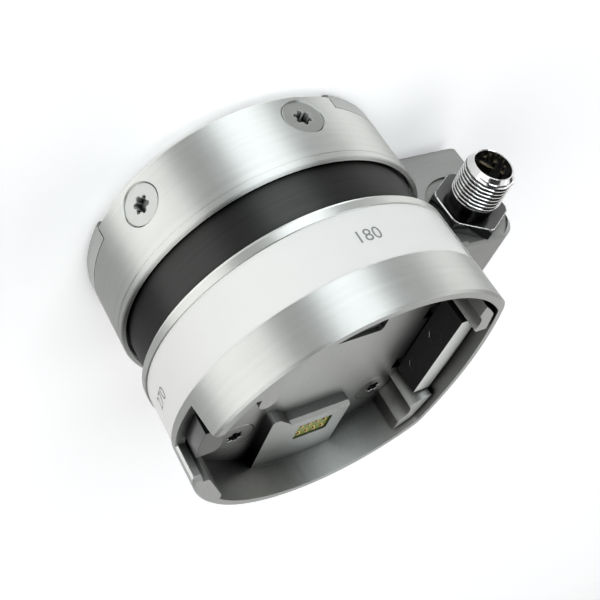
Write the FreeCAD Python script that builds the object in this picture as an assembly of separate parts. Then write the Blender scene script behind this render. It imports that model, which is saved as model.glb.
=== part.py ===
import FreeCAD, Part
import math
import os

# Six-axis force torque sensor for a robot wrist, with a quick-release tool socket.
# Millimetres. The origin is the centre of the face that bolts to the robot flange.
# +Z points from the robot to the tool, +Y towards the connector arm, and the
# connector itself points to -X.

V = FreeCAD.Vector
Z_AXIS = V(0, 0, 1)

# Fits, gaps, and how far a cut runs past the surface it opens
slip = 0.05
run_gap = 0.3
seat_gap = 0.2
past = 1.0
tiny = 1e-6
full_turn = 360.0

# The silver body sets the diameter that the other round pieces step back from
body_r = 35.5
body_h = 8.7
body_disc_t = 6.0
body_shoulder_step = 0.9
skirt_wall = 2.3
skirt_drop = 7.8
wire_hole_r = 4.0

# Robot side adapter plate
adapter_t = 11.5
adapter_bore_r = 11.0
adapter_edge = 0.5
tab_h = 4.6
tab_bevel = 0.9
tab_angle = 83.4
tab_azimuths = (-61.0, 119.0)
tab_slit = 0.3
flange_bolt_pcd = 50.0
flange_bolt_hole_r = 3.2
flange_bolt_head_r = 5.25
flange_bolt_head_h = 6.4
flange_bolt_count = 4
dowel_r = 3.0
dowel_azimuth = 90.0

# Mounting ring that clamps round the adapter
ring_step = 0.14
ring_wall = 3.8
ring_offset = 1.9
ring_h = 16.8
ring_web_t = 3.5
ring_web_hole_r = 12.5
ring_lip_w = 1.0
ring_lip_depth = 2.1
ring_shoulder_w = 1.4
ring_edge = 0.25
line_from_top = 1.5
line_w = 0.14
line_depth = 0.12

# Countersunk screws with a six-lobe recess, M5
countersunk_shank_r = 2.5
screw_land = 0.3
screw_edge = 0.15
screw_tip = 0.5
lobe_core_r = 1.42
lobe_r = 0.53
lobe_circle_r = 1.44
lobe_depth = 1.9

# Radial screws in the mounting ring
radial_count = 6
radial_start = -2.9
radial_z = 7.1
radial_head_r = 4.3
radial_head_gap = 0.2
radial_length = 7.4
radial_sink = 0.36

# Dark band between the two halves, and the soft ring in the gap
band_step = 1.76
band_wall = 1.8
band_show = 9.6
band_overlap = 1.1
seal_h = 0.6
seal_w = 2.0

# Flexure that senses the load
flexure_side_gap = 1.05
flexure_rim_w = 8.0
flexure_rim_h = 4.0
flexure_hub_r = 9.5
flexure_hub_h = 8.4
flexure_float = 0.6
spoke_count = 3
spoke_w = 5.0
spoke_h = 2.4
spoke_window_w = 1.7
spoke_window_inset = 2.0
rim_screw_count = 6
hub_screw_count = 4
hub_screw_circle_r = 5.6
m3_r = 1.5
m3_head_r = 2.75
m3_head_h = 3.0
m3_hex = 2.5
rim_screw_grip = 3.0
hub_screw_grip = 5.0

# Measuring board
board_t = 1.6
board_gap = 0.4
board_side_gap = 2.95
board_bore_r = 11.0
pillar_count = 3
pillar_start = 90.0
pillar_inset = 3.5
pillar_r = 2.4
board_screw_r = 1.0
board_screw_head_r = 1.9
board_screw_head_h = 1.3
board_screw_length = 6.0
sensor_count = 3
sensor_start = 30.0
sensor_inset = 9.5
sensor_side = 5.0
sensor_h = 2.2

# Flat side that carries the release button
flat_depth = 5.5
flat_arc_r = 90.0
flat_corner_r = 5.0

# Label band
label_offset = 2.58
label_h = 12.0
label_t = 0.25
label_inset = 0.35
label_start = 132.0
label_sweep = 276.0

# Arm
arm_half_w = 9.9
arm_length = 22.0
arm_bottom_z = 1.7
arm_top_over = 1.5
arm_ring_gap = 0.8
arm_tool_corner = 5.5
arm_robot_corner = 1.5
arm_chamfer = 1.0
wire_channel_r = 3.5

# Connector, M12 with eight pins
plug_inset = 10.0
plug_drop = 9.3
spot_r = 10.2
spot_depth = 0.5
hex_flats = 16.0
hex_t = 2.2
hex_bevel_w = 0.9
hex_bevel_h = 0.5
collar_r = 6.9
collar_t = 1.0
neck_r = 5.3
neck_l = 2.0
thread_r = 5.85
plug_reach = 14.5
plug_wall = 1.45
lip_r = 5.0
lip_l = 1.6
barrel_r = 7.4
barrel_l = 10.0
barrel_room = 2.0
insert_depth = 8.0
insert_l = 12.0
pin_r = 0.4
pin_circle_r = 2.75
pin_circle_count = 7
pin_depth = 5.5
pin_tail = 2.5
key_w = 1.2
key_h = 0.7
key_setback = 1.0
plug_seal_section = 0.45

# Tool socket housing
housing_h = 15.6
cavity_depth = 10.1
rim_wall = 2.0
rim_wall_flat = 1.7
rim_chamfer = 0.45

# Countersunk screws that hold the housing
socket_screw_inset = 8.1
socket_screw_azimuths = (-135.0, -45.0, 45.0, 135.0)
socket_head_r = 4.55
socket_screw_length = 10.0

# Lands beside the latch: a tall one towards -X and a low one towards +X
land_gap = 1.1
tall_land_lead = 1.2
tall_land_x = 15.5
tall_land_cut = 2.3
low_land_lead = 1.0
low_land_x = 12.2
low_land_round = 5.5
low_land_drop = 1.3

# Lug and heel left against the wall towards -Y
lug_tip_x = 14.4
lug_inset = 10.0
lug_w = 3.5
lug_root_x = 18.0
heel_x = 8.8
heel_near = 2.6
heel_far = 7.7
heel_far_x = 19.5
heel_nick_r = 0.8
heel_bend_r = 1.2

# Relief slot in the floor near the -X wall
relief_x0 = -12.8
relief_x1 = -8.6
relief_y0 = -6.0
relief_y1 = 9.4
relief_depth = 1.0
relief_corner = 0.8

# Notch in the wall and the steel block whose lip the tool hooks under
notch_x0 = -8.2
notch_x1 = 6.9
notch_lean = 1.3
notch_sill = 2.2
notch_rim_bevel = 0.9
notch_side_bevel = 0.55
notch_reach = 4.0
hook_half_w = 4.5
hook_t = 3.6
hook_h = 6.8
hook_corner = 1.8
hook_lip_w = 1.6
hook_lip_h = 2.2

# Contact block with its eight contacts
block_h = 2.9
block_front = 3.0
block_y0 = -6.6
block_y1 = 9.0
block_step = 3.5
block_step_y0 = -12.0
block_step_y1 = -10.2
block_step_r = 0.8
block_corner = 0.6
block_chamfer = 0.9
window_inset = 9.7
window_w = 5.9
window_y0 = -3.6
window_y1 = 5.2
window_corner = 0.6
carrier_sink = 0.5
carrier_flange = 1.2
carrier_flange_t = 1.2
contact_r = 0.62
contact_rows = 2
contact_columns = 4
contact_pitch_x = 2.9
contact_pitch_y = 2.0
contact_board_t = 1.2
contact_stand = 0.3

# Latch
travel = 2.5
bar_x0 = -15.0
bar_x1 = 11.6
bar_w = 4.4
bar_back_gap = 1.9
bar_top_drop = 3.0
bar_float = 0.4
leg_x = 9.6
leg_w = 3.6
leg_t = 2.4
leg_back = 0.8
button_half_w = 9.0
button_z0 = 1.5
button_h = 4.6
button_proud = 2.0
button_corner = 1.4
button_flange_w = 2.2
link_screw_x = 5.6
link_screw_r = 1.0
link_head_r = 1.9
link_head_h = 1.2
link_screw_grip = 2.0
spring_r = 1.45
spring_wire_r = 0.22
spring_turns = 6
spring_l = 8.0
guide_pin_r = 0.75
guide_pin_root = 3.0
pocket_h = 4.0

# Radii that follow from the body and the walls
far = 2 * body_r
body_shoulder_r = body_r - body_shoulder_step
ring_r = body_r - ring_step
ring_in_r = ring_r - ring_wall
disc_r = ring_in_r - slip
lip_in_r = ring_r - ring_lip_w
shoulder_r = ring_in_r - ring_shoulder_w
band_r = ring_r - band_step
band_in_r = band_r - band_wall
skirt_r = band_in_r - slip
skirt_in_r = skirt_r - skirt_wall
flexure_rim_r = skirt_in_r - flexure_side_gap
rim_screw_circle_r = flexure_rim_r - flexure_rim_w / 2
board_r = skirt_in_r - board_side_gap
pillar_circle_r = board_r - pillar_inset
sensor_circle_r = board_r - sensor_inset
groove_r = body_r - label_inset - label_t
cavity_r = body_r - rim_wall
socket_screw_circle_r = cavity_r - socket_screw_inset
socket_r = thread_r - plug_wall
plug_seal_r = barrel_r - plug_seal_section

# Heights that follow from the stack
ring_top = ring_offset + ring_h
web_top = adapter_t + ring_web_t
shoulder_z = ring_top - ring_lip_depth
band_bottom = ring_top - band_overlap
band_top = ring_top + band_show
skirt_bottom = band_top - skirt_drop
body_top = band_top + body_h
disc_bottom = body_top - body_disc_t
rim_z = body_top + housing_h
floor_z = rim_z - cavity_depth
hub_bottom = web_top + flexure_float
hub_top = hub_bottom + flexure_hub_h
board_bottom = hub_top + board_gap
board_top = board_bottom + board_t
arm_top = band_top + arm_top_over
neck_bottom = ring_top + arm_ring_gap
plug_z = arm_top - plug_drop
wire_channel_z = (neck_bottom + arm_top) / 2
label_bottom = band_top + label_offset
label_top = label_bottom + label_h
block_top = floor_z + block_h
carrier_top = block_top - carrier_sink
bar_top = rim_z - bar_top_drop
bar_bottom = floor_z + bar_float
button_bottom = floor_z + button_z0
link_z = button_bottom + button_h / 2
spring_z = body_top + pocket_h / 2
hook_top = floor_z + hook_h

# Places that follow across the part
arm_inner_y = ring_r + arm_ring_gap
arm_end_y = body_r + arm_length
plug_y = arm_end_y - plug_inset
seat_x = -arm_half_w
spot_x = seat_x + spot_depth
flat_y = body_r - flat_depth
flat_in_y = flat_y - rim_wall_flat
bar_y1 = flat_in_y - bar_back_gap
bar_y0 = bar_y1 - bar_w
leg_y1 = bar_y1 - leg_back
leg_y0 = leg_y1 - leg_t
spring_end_y = leg_y0 - spring_l
lug_y = cavity_r - lug_inset
window_x1 = cavity_r - window_inset
window_x0 = window_x1 - window_w
block_x = window_x0 - block_front
block_step_x = block_x - block_step


def cylinder(radius, z0, z1, x=0.0, y=0.0):
    """Upright cylinder from z0 to z1."""
    return Part.makeCylinder(radius, z1 - z0, V(x, y, z0))


def rod_along_x(radius, x0, x1, y, z):
    """Cylinder parallel to X."""
    return Part.makeCylinder(radius, x1 - x0, V(x0, y, z), V(1, 0, 0))


def rod_along_y(radius, y0, y1, x, z):
    """Cylinder parallel to Y."""
    return Part.makeCylinder(radius, y1 - y0, V(x, y0, z), V(0, 1, 0))


def block(x0, x1, y0, y1, z0, z1):
    """Plain box between two corners."""
    return Part.makeBox(x1 - x0, y1 - y0, z1 - z0, V(x0, y0, z0))


def turned(shape, azimuth):
    """Copy of a shape, turned about Z."""
    copy = shape.copy()
    copy.rotate(V(0, 0, 0), Z_AXIS, azimuth)
    return copy


def around(shape, count, start=0.0):
    """Copies of a shape, evenly spaced about Z."""
    return [turned(shape, start + full_turn * i / count) for i in range(count)]


def mirrored(shape):
    """The shape together with its mirror image across X = 0."""
    return [shape, shape.mirror(V(0, 0, 0), V(1, 0, 0))]


def revolved(profile, start=0.0, sweep=full_turn):
    """Solid of revolution about Z from (radius, height) points."""
    points = [V(r, 0, z) for r, z in profile]
    face = Part.Face(Part.makePolygon(points + points[:1]))
    face.rotate(V(0, 0, 0), Z_AXIS, start)
    return face.revolve(V(0, 0, 0), Z_AXIS, sweep)


def rounded_face(corners):
    """Flat face in XY from (x, y, corner radius) entries."""
    count = len(corners)
    ends = []
    for i, (x, y, radius) in enumerate(corners):
        here = V(x, y, 0)
        before = V(*corners[i - 1][:2], 0) - here
        after = V(*corners[(i + 1) % count][:2], 0) - here
        if radius <= 0:
            ends.append((here, None, here))
            continue
        before.normalize()
        after.normalize()
        half = before.getAngle(after) / 2
        setback = radius / math.tan(half)
        middle = (before + after).normalize()
        centre = here + middle * (radius / math.sin(half))
        ends.append((here + before * setback, centre - middle * radius, here + after * setback))
    edges = []
    for i, (start, mid, end) in enumerate(ends):
        if mid is not None:
            edges.append(Part.Arc(start, mid, end).toShape())
        following = ends[(i + 1) % count][0]
        if end.distanceToPoint(following) > tiny:
            edges.append(Part.LineSegment(end, following).toShape())
    return Part.Face(Part.Wire(edges))


def plate(corners, z0, z1):
    """Prism along Z over a rounded outline."""
    face = rounded_face(corners)
    face.translate(V(0, 0, z0))
    return face.extrude(V(0, 0, z1 - z0))


def plate_along_x(corners, x0, x1):
    """Prism along X over a rounded outline given in (y, z, corner radius)."""
    face = rounded_face(corners)
    upright = FreeCAD.Rotation(V(0, 1, 0), V(0, 0, 1), V(1, 0, 0), "XYZ")
    face.Placement = FreeCAD.Placement(V(x0, 0, 0), upright)
    return face.extrude(V(x1 - x0, 0, 0))


def plate_along_y(corners, y0, y1):
    """Prism along Y over a rounded outline given in (x, z, corner radius)."""
    face = rounded_face(corners)
    face.rotate(V(0, 0, 0), V(1, 0, 0), 90)
    face.translate(V(0, y0, 0))
    return face.extrude(V(0, y1 - y0, 0))


def rectangle(u0, u1, v0, v1, radius):
    """Corners of a rounded rectangle."""
    return [(u0, v0, radius), (u1, v0, radius), (u1, v1, radius), (u0, v1, radius)]


def flat_sided(radius, flat, arc_r, corner, z0, z1):
    """Round prism whose +Y side is a shallow arc, with the two corners blended."""
    solid = cylinder(radius, z0, z1).common(cylinder(arc_r, z0, z1, 0, flat - arc_r))
    edges = []
    for edge in solid.Edges:
        ends = [vertex.Point for vertex in edge.Vertexes]
        upright = len(ends) == 2 and abs(ends[0].z - ends[1].z) > (z1 - z0) / 2
        if upright:
            on_arc = abs(math.hypot(ends[0].x, ends[0].y - flat + arc_r) - arc_r) < tiny
            on_round = abs(math.hypot(ends[0].x, ends[0].y) - radius) < tiny
            if on_arc and on_round:
                edges.append(edge)
    return solid.makeFillet(corner, edges)


def six_lobe():
    """Six-lobe driver recess, cut downwards from Z = 0."""
    core = cylinder(lobe_core_r, -lobe_depth, 0)
    lobes = around(cylinder(lobe_r, -lobe_depth, 0, lobe_circle_r), 6)
    return core.multiFuse(lobes).removeSplitter()


def hexagon(across_flats, z0, z1):
    """Hexagonal prism along Z, with two flats facing +X and -X."""
    corner_r = across_flats / 2 / math.cos(math.pi / 6)
    corners = []
    for i in range(6):
        angle = math.pi / 6 + i * math.pi / 3
        corners.append((corner_r * math.cos(angle), corner_r * math.sin(angle), 0))
    return plate(corners, z0, z1)


def countersunk_screw(head_r, length):
    """Countersunk screw along -Z, its flat face at Z = 0."""
    shank_r = countersunk_shank_r
    solid = revolved([(0, 0), (head_r - screw_edge, 0), (head_r, -screw_edge), (head_r, -screw_land),
                      (shank_r, -screw_land - head_r + shank_r), (shank_r, screw_tip - length),
                      (shank_r - screw_tip, -length), (0, -length)])
    return solid.cut(six_lobe())


def countersunk_hole(head_r, length, gap, above):
    """Seat for a countersunk screw, open above Z = 0."""
    wide = head_r + gap
    narrow = countersunk_shank_r + slip
    return revolved([(0, above), (wide, above), (wide, -screw_land), (wide - gap + slip, -screw_land),
                     (narrow, -screw_land - head_r + countersunk_shank_r), (narrow, -length), (0, -length)])


def socket_screw(shank_r, head_r, head_h, length, hexagon_size):
    """Cylinder head screw along -Z, the underside of its head at Z = 0."""
    solid = cylinder(head_r, 0, head_h).fuse(cylinder(shank_r, -length, 0))
    recess = hexagon(hexagon_size, head_h / 2, head_h)
    return solid.cut(recess)


def pointing_out(shape, radius, z):
    """Copy of a shape whose +Z becomes +X, moved out to a radius."""
    copy = shape.copy()
    copy.rotate(V(0, 0, 0), V(0, 1, 0), 90)
    copy.translate(V(radius, 0, z))
    return copy


def placed(shape, x, y, z):
    """Copy of a shape, moved."""
    copy = shape.copy()
    copy.translate(V(x, y, z))
    return copy


def on_circle(shape, radius, z, count, start=0.0):
    """Copies of a shape on a circle about Z."""
    return around(placed(shape, radius, 0, z), count, start)


def flipped(shape):
    """Copy of a shape, turned upside down about X."""
    copy = shape.copy()
    copy.rotate(V(0, 0, 0), V(1, 0, 0), 180)
    return copy


def radial_holes():
    """Seats of the radial screws, through the ring and into the adapter."""
    seat = countersunk_hole(radial_head_r, radial_length + run_gap, radial_head_gap, ring_wall)
    return around(pointing_out(seat, ring_r - radial_sink, radial_z), radial_count, radial_start)


def make_adapter_plate():
    """Disc with two tabs that show outside the ring."""
    disc = revolved([(adapter_bore_r, 0), (disc_r - adapter_edge, 0), (disc_r, adapter_edge),
                     (disc_r, adapter_t), (adapter_bore_r, adapter_t)])
    tab_profile = [(disc_r - past, 0), (ring_r - tab_bevel, 0), (ring_r, tab_bevel), (ring_r, tab_h),
                   (disc_r - past, tab_h)]
    tabs = [revolved(tab_profile, azimuth - tab_angle / 2, tab_angle) for azimuth in tab_azimuths]
    solid = disc.multiFuse(tabs)
    bolt = cylinder(flange_bolt_hole_r, -past, adapter_t + past)
    bolt = bolt.fuse(cylinder(flange_bolt_head_r, adapter_t - flange_bolt_head_h, adapter_t + past))
    holes = on_circle(bolt, flange_bolt_pcd / 2, 0, flange_bolt_count, 180.0 / flange_bolt_count)
    holes.append(turned(cylinder(dowel_r, -past, adapter_t + past, flange_bolt_pcd / 2), dowel_azimuth))
    return solid.cut(holes).cut(radial_holes())


def make_mounting_ring():
    """Cup that slides over the adapter, its web carrying the flexure."""
    line_z = ring_top - line_from_top
    profile = [(ring_in_r, ring_offset), (ring_r, ring_offset), (ring_r, line_z - line_w),
               (ring_r - line_depth, line_z - line_w), (ring_r - line_depth, line_z), (ring_r, line_z),
               (ring_r, ring_top - ring_edge), (ring_r - ring_edge, ring_top), (lip_in_r, ring_top),
               (lip_in_r, shoulder_z), (shoulder_r, shoulder_z), (shoulder_r, web_top),
               (ring_web_hole_r, web_top), (ring_web_hole_r, adapter_t), (ring_in_r, adapter_t)]
    solid = revolved(profile)
    slit = math.degrees(tab_slit / ring_r)
    gap_profile = [(disc_r - past, 0), (ring_r + past, 0), (ring_r + past, tab_h + seat_gap),
                   (disc_r - past, tab_h + seat_gap)]
    gaps = [revolved(gap_profile, azimuth - tab_angle / 2 - slit, tab_angle + 2 * slit)
            for azimuth in tab_azimuths]
    threads = on_circle(cylinder(m3_r + slip, -rim_screw_grip - run_gap, 1), rim_screw_circle_r,
                        web_top, rim_screw_count, 180.0 / rim_screw_count)
    return solid.cut(gaps + threads).cut(radial_holes())


def make_radial_screws():
    """Screws that draw the ring and the adapter together."""
    screw = countersunk_screw(radial_head_r, radial_length)
    return around(pointing_out(screw, ring_r - radial_sink, radial_z), radial_count, radial_start)


def make_gap_seal():
    """Soft ring on the ring's inner shoulder."""
    outer = lip_in_r - slip
    inner = outer - seal_w
    top = shoulder_z + seal_h
    return [revolved([(inner, shoulder_z), (outer, shoulder_z), (outer, top), (inner, top)])]


def make_band_cover():
    """Dark anodised ring round the measuring chamber, open at the arm's neck."""
    solid = revolved([(band_in_r, band_bottom), (band_r - seat_gap, band_bottom),
                      (band_r, band_bottom + seat_gap), (band_r, band_top), (band_in_r, band_top)])
    reach = arm_half_w + seat_gap
    return [solid.cut(block(-reach, reach, 0, body_r, neck_bottom - seat_gap, band_top + past))]


def make_flexure():
    """Rim, spokes and hub, cut from one billet."""
    rim_in_r = flexure_rim_r - flexure_rim_w
    rim = cylinder(flexure_rim_r, web_top, web_top + flexure_rim_h)
    rim = rim.cut(cylinder(rim_in_r, web_top - past, web_top + flexure_rim_h + past))
    hub = cylinder(flexure_hub_r, hub_bottom, hub_top)
    spoke_top = hub_bottom + spoke_h
    spoke = block(flexure_hub_r - past, rim_in_r + past, -spoke_w / 2, spoke_w / 2, hub_bottom, spoke_top)
    spoke = spoke.cut(block(flexure_hub_r + spoke_window_inset, rim_in_r - spoke_window_inset,
                            -spoke_window_w / 2, spoke_window_w / 2, hub_bottom - past, spoke_top + past))
    solid = rim.multiFuse([hub] + around(spoke, spoke_count))
    shank = cylinder(m3_r + slip, web_top - past, hub_top + past)
    counterbore = cylinder(m3_head_r + slip, hub_bottom - past, hub_bottom + m3_head_h)
    holes = on_circle(shank, rim_screw_circle_r, 0, rim_screw_count, 180.0 / rim_screw_count)
    holes += on_circle(shank.fuse(counterbore), hub_screw_circle_r, 0, hub_screw_count,
                       180.0 / hub_screw_count)
    return [solid.cut(holes)]


def make_flexure_screws():
    """Screws from the flexure's rim into the ring's web."""
    screw = socket_screw(m3_r, m3_head_r, m3_head_h, flexure_rim_h + rim_screw_grip, m3_hex)
    return on_circle(screw, rim_screw_circle_r, web_top + flexure_rim_h, rim_screw_count,
                     180.0 / rim_screw_count)


def make_hub_screws():
    """Screws from the flexure's hub up into the body."""
    length = flexure_hub_h - m3_head_h + hub_screw_grip
    screw = flipped(socket_screw(m3_r, m3_head_r, m3_head_h, length, m3_hex))
    return on_circle(screw, hub_screw_circle_r, hub_bottom + m3_head_h, hub_screw_count,
                     180.0 / hub_screw_count)


def make_sensor_board():
    """Ring-shaped circuit board hung from the body."""
    holes = on_circle(cylinder(board_screw_r + slip, board_bottom - past, board_top + past),
                      pillar_circle_r, 0, pillar_count, pillar_start)
    holes.append(cylinder(board_bore_r, board_bottom - past, board_top + past))
    return [cylinder(board_r, board_bottom, board_top).cut(holes)]


def make_board_screws():
    """Small screws that hold the board to its pillars."""
    head = cylinder(board_screw_head_r, -board_screw_head_h, 0)
    screw = head.fuse(cylinder(board_screw_r, 0, board_screw_length))
    return on_circle(screw, pillar_circle_r, board_bottom, pillar_count, pillar_start)


def make_optical_sensors():
    """Optical distance sensors under the board."""
    half = sensor_side / 2
    chip = block(-half, half, -half, half, -sensor_h, 0)
    chip = chip.cut(cylinder(half / 2, -sensor_h - past, -sensor_h / 2))
    return on_circle(chip, sensor_circle_r, board_bottom, sensor_count, sensor_start)


def arm_solid():
    """Arm and neck, a prism across X with its tool-side edges bevelled."""
    neck_y = math.sqrt(skirt_r ** 2 - arm_half_w ** 2) - skirt_wall / 2
    corners = [(neck_y, neck_bottom, 0), (arm_inner_y, neck_bottom, 0),
               (arm_inner_y, arm_bottom_z, arm_robot_corner), (arm_end_y, arm_bottom_z, arm_robot_corner),
               (arm_end_y, arm_top, arm_tool_corner), (neck_y, arm_top, 0)]
    solid = plate_along_x(corners, -arm_half_w, arm_half_w)
    edges = []
    for edge in solid.Edges:
        box = edge.BoundBox
        flat_on_side = box.XLength < tiny
        at_top = box.ZMax > arm_top - tiny and box.YMax > arm_inner_y
        at_end = box.YMax > arm_end_y - tiny and box.ZMin > arm_bottom_z + tiny
        if flat_on_side and (at_top or at_end):
            edges.append(edge)
    return solid.makeChamfer(arm_chamfer, edges)


def beyond_flat(z0, z1):
    """Everything outside the flat-sided outline between two heights."""
    outside = cylinder(far, z0, z1)
    return outside.cut(flat_sided(body_r, flat_y, flat_arc_r, flat_corner_r, z0, z1))


def label_groove():
    """Shallow recess for the label band."""
    return revolved([(groove_r, label_bottom), (body_r + past, label_bottom), (body_r + past, label_top),
                     (groove_r, label_top)], label_start, label_sweep)


def make_sensor_body():
    """Body disc, skirt and arm, milled from one billet."""
    disc = revolved([(0, disc_bottom), (skirt_in_r, disc_bottom), (skirt_in_r, skirt_bottom),
                     (skirt_r, skirt_bottom), (skirt_r, band_top), (body_shoulder_r, band_top),
                     (body_r, band_top + body_shoulder_step), (body_r, body_top), (0, body_top)])
    disc = disc.cut(beyond_flat(arm_top, body_top + past))
    boss = cylinder(flexure_hub_r, hub_top, disc_bottom + past)
    pillars = on_circle(cylinder(pillar_r, board_top, disc_bottom + past), pillar_circle_r, 0,
                        pillar_count, pillar_start)
    solid = disc.multiFuse([arm_solid(), boss] + pillars)
    inside = cylinder(skirt_in_r, 0, disc_bottom).cut([boss] + pillars)
    solid = solid.cut(inside)
    holes = on_circle(cylinder(m3_r + slip, 0, hub_top + hub_screw_grip + run_gap), hub_screw_circle_r, 0,
                      hub_screw_count, 180.0 / hub_screw_count)
    depth = board_bottom + board_screw_length + run_gap
    holes += on_circle(cylinder(board_screw_r + slip, 0, depth), pillar_circle_r, 0,
                       pillar_count, pillar_start)
    seat_depth = floor_z - socket_screw_length - run_gap
    screw_hole = cylinder(countersunk_shank_r + slip, seat_depth, rim_z, socket_screw_circle_r)
    holes += [turned(screw_hole, azimuth) for azimuth in socket_screw_azimuths]
    wire_hole_x = (flexure_hub_r + skirt_in_r) / 2
    holes.append(cylinder(wire_hole_r, disc_bottom - past, body_top + past, wire_hole_x))
    holes.append(rod_along_x(spot_r, seat_x - past, spot_x, plug_y, plug_z))
    barrel_end = spot_x + barrel_l + barrel_room
    holes.append(rod_along_x(barrel_r + slip, seat_x - past, barrel_end, plug_y, plug_z))
    holes.append(rod_along_y(wire_channel_r, skirt_in_r - skirt_wall, plug_y, 0, wire_channel_z))
    return [solid.cut(holes).cut(label_groove())]


def make_label_band():
    """Printed band laid in its groove."""
    inner = groove_r + slip
    margin = math.degrees(seat_gap / body_r)
    return [revolved([(inner, label_bottom + slip), (groove_r + label_t, label_bottom + slip),
                      (groove_r + label_t, label_top - slip), (inner, label_top - slip)],
                     label_start + margin, label_sweep - 2 * margin)]


def to_plug(shape):
    """Shape modelled along +Z from the arm's face, moved onto the connector axis."""
    copy = shape.copy()
    copy.rotate(V(0, 0, 0), V(0, 1, 0), -90)
    copy.translate(V(seat_x, plug_y, plug_z))
    return copy


def make_connector_shell():
    """Threaded shell with its hexagon, turned from one bar."""
    seat = -spot_depth
    hex_top = seat + hex_t
    collar_top = hex_top + collar_t
    neck_top = collar_top + neck_l
    outside = revolved([(0, seat - barrel_l), (barrel_r, seat - barrel_l), (barrel_r, seat),
                        (collar_r, seat), (collar_r, collar_top), (neck_r, collar_top), (neck_r, neck_top),
                        (thread_r, neck_top), (thread_r, plug_reach - lip_l), (lip_r, plug_reach),
                        (0, plug_reach)])
    nut = turned(hexagon(hex_flats, seat, hex_top), 90)
    bevel_r = hex_flats / 2 + hex_bevel_w
    bevel = revolved([(0, seat), (bevel_r, seat), (bevel_r, hex_top - hex_bevel_h),
                      (hex_flats / 2, hex_top), (0, hex_top)])
    outside = outside.fuse(nut.common(bevel))
    bore = cylinder(socket_r, seat - barrel_l - past, plug_reach + past)
    groove_bottom = seat - 2 * plug_seal_section
    groove = cylinder(barrel_r + past, groove_bottom, seat)
    groove = groove.cut(cylinder(plug_seal_r - plug_seal_section - slip, groove_bottom - past, seat + past))
    bottom = plug_reach - insert_depth
    key = block(-key_w / 2, key_w / 2, socket_r - key_h, socket_r + run_gap, bottom, plug_reach - key_setback)
    key.rotate(V(0, 0, 0), Z_AXIS, -90)
    return [to_plug(outside.cut(bore).cut(groove).fuse(key))]


def pin_pattern(shape):
    """The shape once in the middle and then round the pin circle."""
    return [shape] + on_circle(shape, pin_circle_r, 0, pin_circle_count, 180.0 / pin_circle_count)


def make_connector_insert():
    """Moulded pin carrier inside the shell."""
    face = plug_reach - insert_depth
    carrier = cylinder(socket_r - slip, face - insert_l, face)
    return [to_plug(carrier.cut(pin_pattern(cylinder(pin_r + slip, face - insert_l - past, face + past))))]


def make_connector_pins():
    """Eight contact pins, one in the middle and seven on a circle."""
    face = plug_reach - insert_depth
    pin = cylinder(pin_r, face - insert_l - pin_tail, plug_reach - pin_depth)
    return [to_plug(solid) for solid in pin_pattern(pin)]


def make_connector_seal():
    """O-ring under the hexagon."""
    ring = Part.makeTorus(plug_seal_r, plug_seal_section, V(0, 0, -spot_depth - plug_seal_section))
    return [to_plug(ring)]


def notch_cutter():
    """Opening in the -Y wall, bevelled at the rim and along its outer +X edge."""
    sill = floor_z + notch_sill
    lean = notch_lean * (past + rim_z - sill) / (rim_z - sill)
    opening = plate_along_y([(notch_x0, sill, 0), (notch_x1, sill, 0), (notch_x1, rim_z - notch_rim_bevel, 0),
                             (notch_x1 + notch_rim_bevel + past, rim_z + past, 0),
                             (notch_x0 - lean, rim_z + past, 0)], -body_r - past, notch_reach - cavity_r)
    edge_y = -math.sqrt(body_r ** 2 - notch_x1 ** 2)
    side = plate([(notch_x1 - past, edge_y - past, 0), (notch_x1 + notch_side_bevel + past, edge_y - past, 0),
                  (notch_x1 - past, edge_y + notch_side_bevel + past, 0)], sill, rim_z + past)
    return opening.fuse(side)


def latch_pocket():
    """Room under the floor for one leg of the latch, its spring and its pin."""
    x0 = leg_x - leg_w / 2 - run_gap
    x1 = leg_x + leg_w / 2 + run_gap
    back = leg_y1 + run_gap
    pocket = block(x0, x1, spring_end_y, back, body_top - past, body_top + pocket_h)
    slot = block(x0, x1, leg_y0 - travel - run_gap, back, body_top, floor_z + past)
    pin_hole = rod_along_y(guide_pin_r, spring_end_y - guide_pin_root, spring_end_y, leg_x, spring_z)
    return pocket.multiFuse([slot, pin_hole])


def latch_lands():
    """Tall and low land beside the latch, standing off the wall by a narrow gap."""
    tall_y = bar_y0 - tall_land_lead
    low_y = bar_y0 - low_land_lead
    tall = plate([(-far, tall_y, 0), (-tall_land_x - tall_land_cut, tall_y, 0),
                  (-tall_land_x, tall_y + tall_land_cut, 0), (-tall_land_x, far, 0), (-far, far, 0)],
                 floor_z, rim_z)
    low = plate([(low_land_x, low_y, low_land_round), (far, low_y, 0), (far, far, 0), (low_land_x, far, 0)],
                floor_z, rim_z - low_land_drop)
    inside = flat_sided(cavity_r - land_gap, flat_in_y - land_gap, flat_arc_r - rim_wall_flat - land_gap,
                        flat_corner_r - rim_wall - land_gap, floor_z, rim_z)
    return [tall.common(inside), low.common(inside)]


def lug():
    """Round-nosed lug on the -X side, with its root against the wall."""
    nose = lug_w / 2
    bar = plate([(-far, -lug_y - lug_w, 0), (-lug_tip_x, -lug_y - lug_w, nose), (-lug_tip_x, -lug_y, nose),
                 (-far, -lug_y, 0)], floor_z, rim_z)
    return bar.fuse(block(-far, -lug_root_x, -far, -lug_y, floor_z, rim_z))


def heel():
    """Slanted heel beside the notch, on the +X side."""
    near_y = heel_near - cavity_r
    far_y = heel_far - cavity_r
    return plate([(heel_x, -far, 0), (far, -far, 0), (far, far_y, 0), (heel_far_x, far_y, heel_bend_r),
                  (heel_x, near_y, heel_nick_r)], floor_z, rim_z)


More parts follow.
